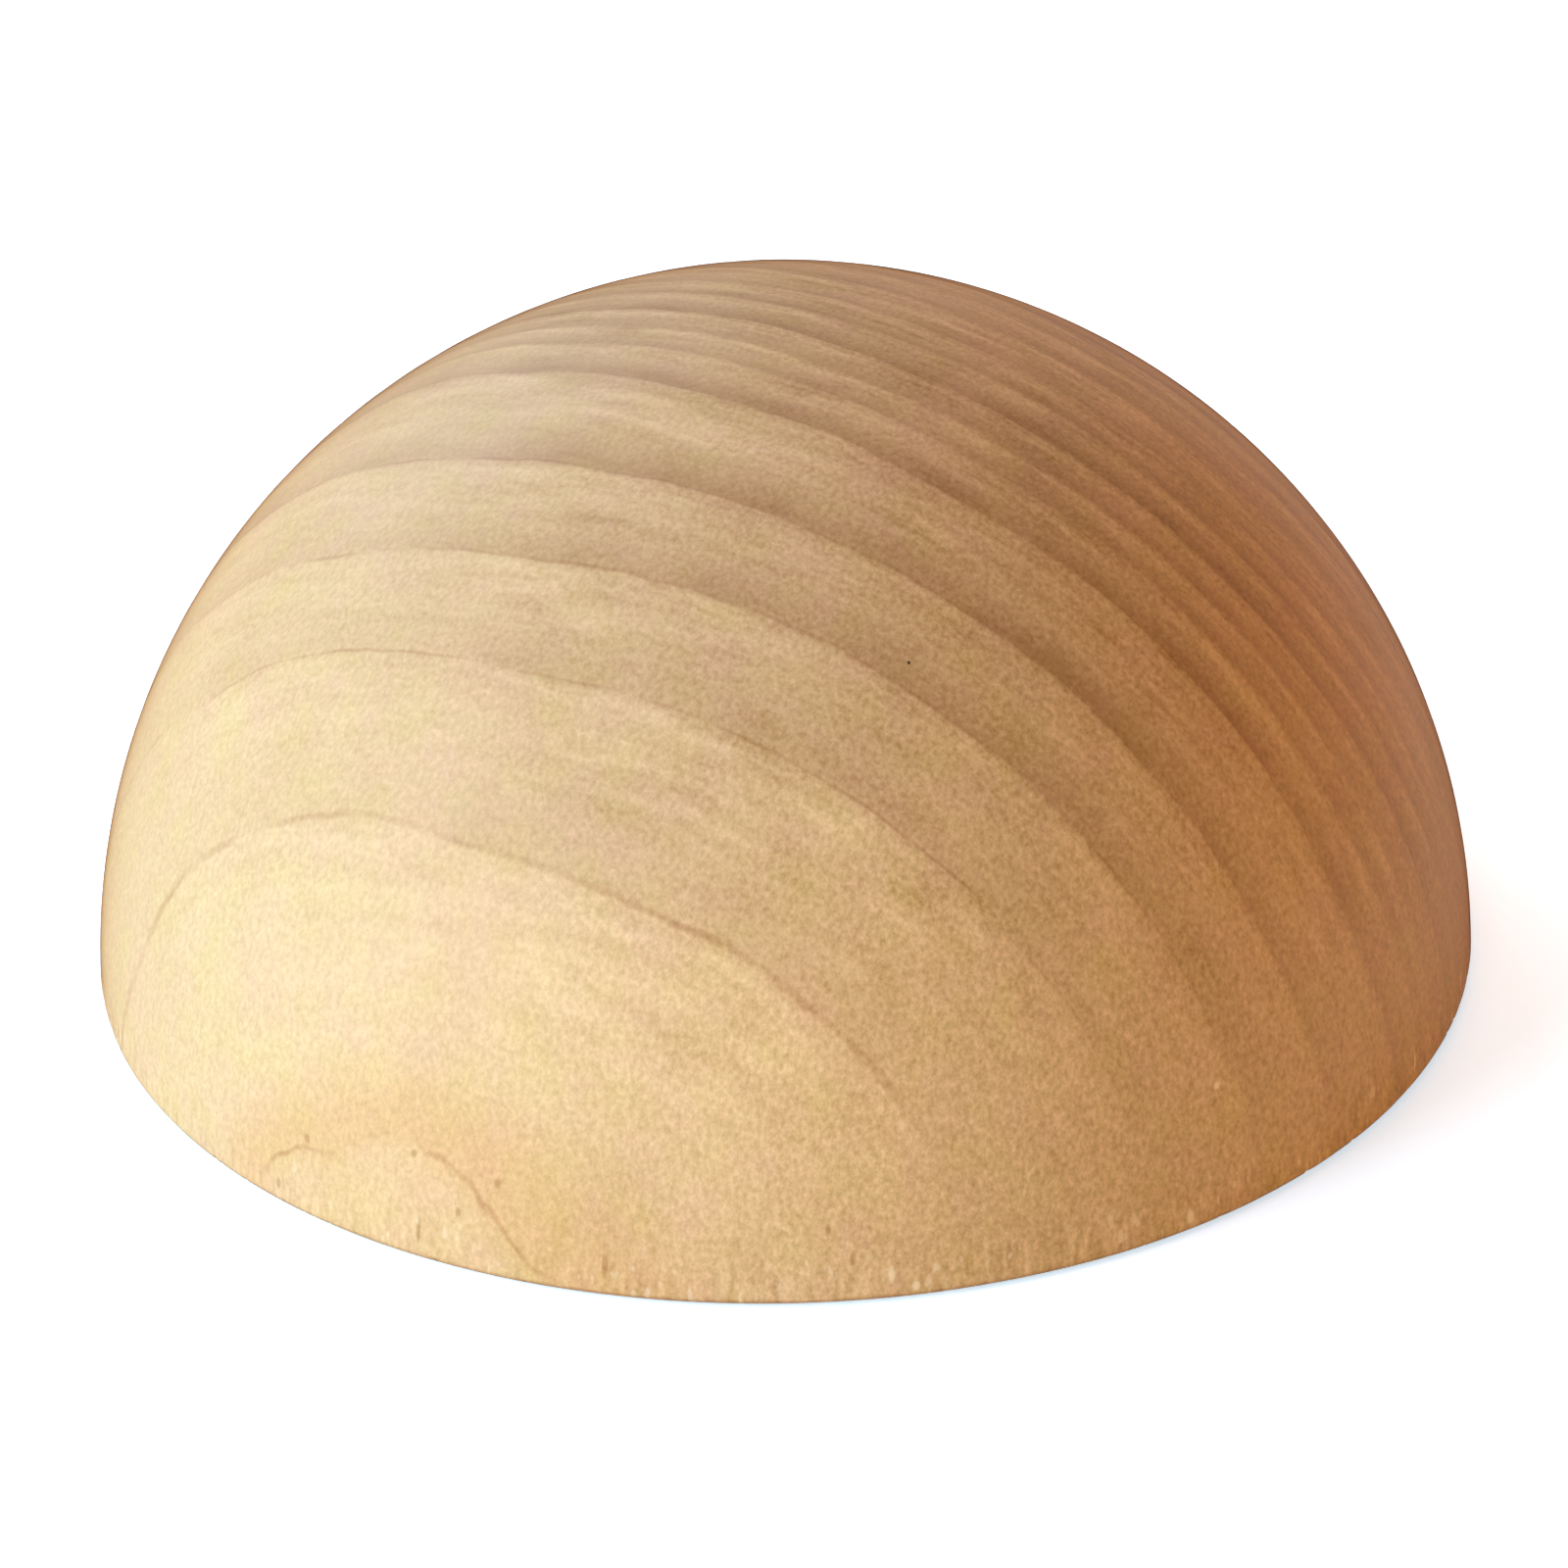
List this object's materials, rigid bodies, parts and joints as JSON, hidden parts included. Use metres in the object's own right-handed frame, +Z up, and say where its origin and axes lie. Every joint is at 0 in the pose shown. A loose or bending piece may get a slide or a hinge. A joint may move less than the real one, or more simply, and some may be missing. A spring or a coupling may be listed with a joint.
{
  "type": "wooden half ball",
  "caption": "Solid turned half ball of plain wood with a flat sawn base and a lightly broken edge, used as a foot, knob, button or craft blank.",
  "frame": {"origin": "centre of the flat sawn base", "axes": "+Z up, square to the sawn base, from its centre to the top of the dome; -Y towards the viewer of the picture"},
  "size_m": [0.04, 0.04, 0.0198],
  "materials": {
    "wood": "bare sanded pale hardwood, matt"
  },
  "bodies": {
    "root": {"half_ball": "wood"}
  },
  "joints": []
}
